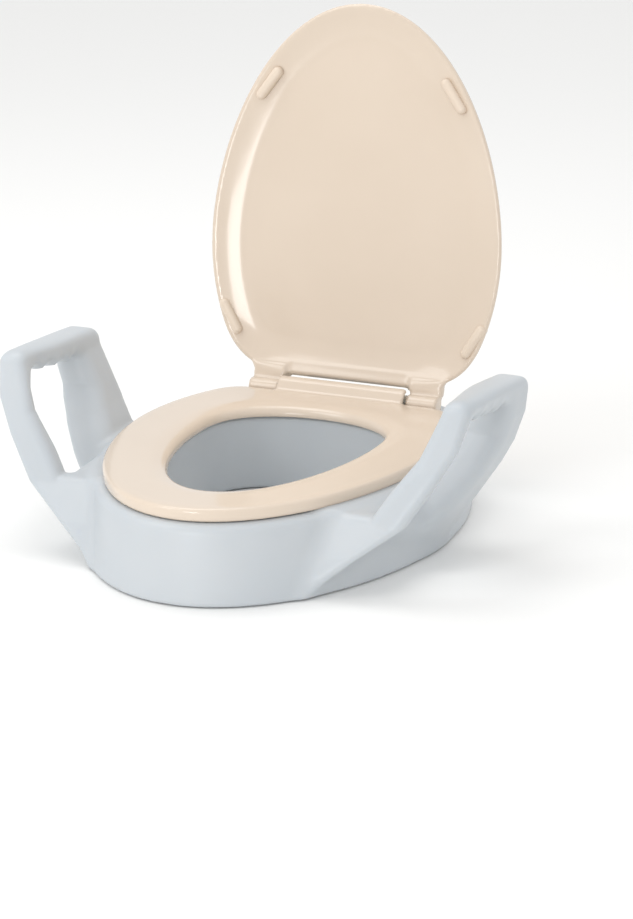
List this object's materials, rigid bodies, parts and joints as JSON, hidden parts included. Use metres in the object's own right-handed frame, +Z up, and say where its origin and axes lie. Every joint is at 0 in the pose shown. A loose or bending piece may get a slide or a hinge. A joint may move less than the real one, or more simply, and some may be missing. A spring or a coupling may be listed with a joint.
{
  "type": "raised toilet seat",
  "caption": "Raised toilet seat: hollow riser ring with two moulded arm loops, hinged elongated seat ring and lid, held to a bowl by long bolts with wing nuts.",
  "frame": {"origin": "on the plane of the bowl's rim, midway between the two mounting bolts", "axes": "+Z up, -Y towards the front of the seat where the user faces, +X to the right of someone who stands in front and looks at it"},
  "size_m": [0.5642, 0.547, 0.6079],
  "materials": {
    "riser_plastic": "satin, slightly translucent polyethylene",
    "seat_plastic": "gloss",
    "bumper_plastic": "satin",
    "nylon": "satin",
    "rubber": "matte"
  },
  "bodies": {
    "base": {"riser_ring": "riser_plastic", "arm_left": "riser_plastic", "arm_right": "riser_plastic", "foot_pad_front_left": "rubber", "foot_pad_front_right": "rubber", "hinge_post_left": "nylon", "hinge_post_right": "nylon", "hinge_pin_left": "nylon", "hinge_pin_right": "nylon", "cap_pin_left": "nylon", "cap_pin_right": "nylon", "deck_gasket_left": "rubber", "deck_gasket_right": "rubber", "bolt_left": "nylon", "bolt_right": "nylon", "foot_pad_side_left": "rubber", "foot_pad_side_right": "rubber", "foot_pad_rear": "rubber"},
    "seat": {"seat_ring": "seat_plastic", "seat_bumper_front_left": "bumper_plastic", "seat_bumper_front_right": "bumper_plastic", "seat_bumper_rear_left": "bumper_plastic", "seat_bumper_rear_right": "bumper_plastic"},
    "lid": {"lid": "seat_plastic", "lid_bumper_front_left": "bumper_plastic", "lid_bumper_front_right": "bumper_plastic", "lid_bumper_rear_left": "bumper_plastic", "lid_bumper_rear_right": "bumper_plastic"},
    "bolt_cap_left": {"bolt_cap_left": "nylon"},
    "bolt_cap_right": {"bolt_cap_right": "nylon"},
    "cone_washer_left": {"cone_washer_left": "rubber"},
    "cone_washer_right": {"cone_washer_right": "rubber"},
    "wing_nut_left": {"wing_nut_left": "nylon"},
    "wing_nut_right": {"wing_nut_right": "nylon"}
  },
  "joints": [
    {"name": "seat_hinge", "type": "hinge", "parent": "base", "child": "seat", "pos_m": [0, -0.02, 0.0995], "axis": [-1, 0, 0], "range_deg": [0, 95]},
    {"name": "lid_hinge", "type": "hinge", "parent": "base", "child": "lid", "pos_m": [0, -0.02, 0.0995], "axis": [1, 0, 0], "range_deg": [0, 96.4]},
    {"name": "bolt_cap_left_hinge", "type": "hinge", "parent": "base", "child": "bolt_cap_left", "pos_m": [-0.06985, 0.0115, 0.0966], "axis": [-1, 0, 0], "range_deg": [0, 100]},
    {"name": "bolt_cap_right_hinge", "type": "hinge", "parent": "base", "child": "bolt_cap_right", "pos_m": [0.06985, 0.0115, 0.0966], "axis": [-1, 0, 0], "range_deg": [0, 100]},
    {"name": "cone_washer_left_slide", "type": "slide", "parent": "base", "child": "cone_washer_left", "axis": [0, 0, -1], "range_m": [0, 0.005]},
    {"name": "wing_nut_left_turn", "type": "hinge", "parent": "cone_washer_left", "child": "wing_nut_left", "pos_m": [-0.06985, 0, -0.035], "axis": [0, 0, -1], "range_deg": [0, 720]},
    {"name": "cone_washer_right_slide", "type": "slide", "parent": "base", "child": "cone_washer_right", "axis": [0, 0, -1], "range_m": [0, 0.005]},
    {"name": "wing_nut_right_turn", "type": "hinge", "parent": "cone_washer_right", "child": "wing_nut_right", "pos_m": [0.06985, 0, -0.035], "axis": [0, 0, -1], "range_deg": [0, 720]}
  ],
  "couplings": [
    {"joint": "cone_washer_left_slide", "follows": "wing_nut_left_turn", "m_per_rad": 0.00039789},
    {"joint": "cone_washer_right_slide", "follows": "wing_nut_right_turn", "m_per_rad": 0.00039789}
  ]
}
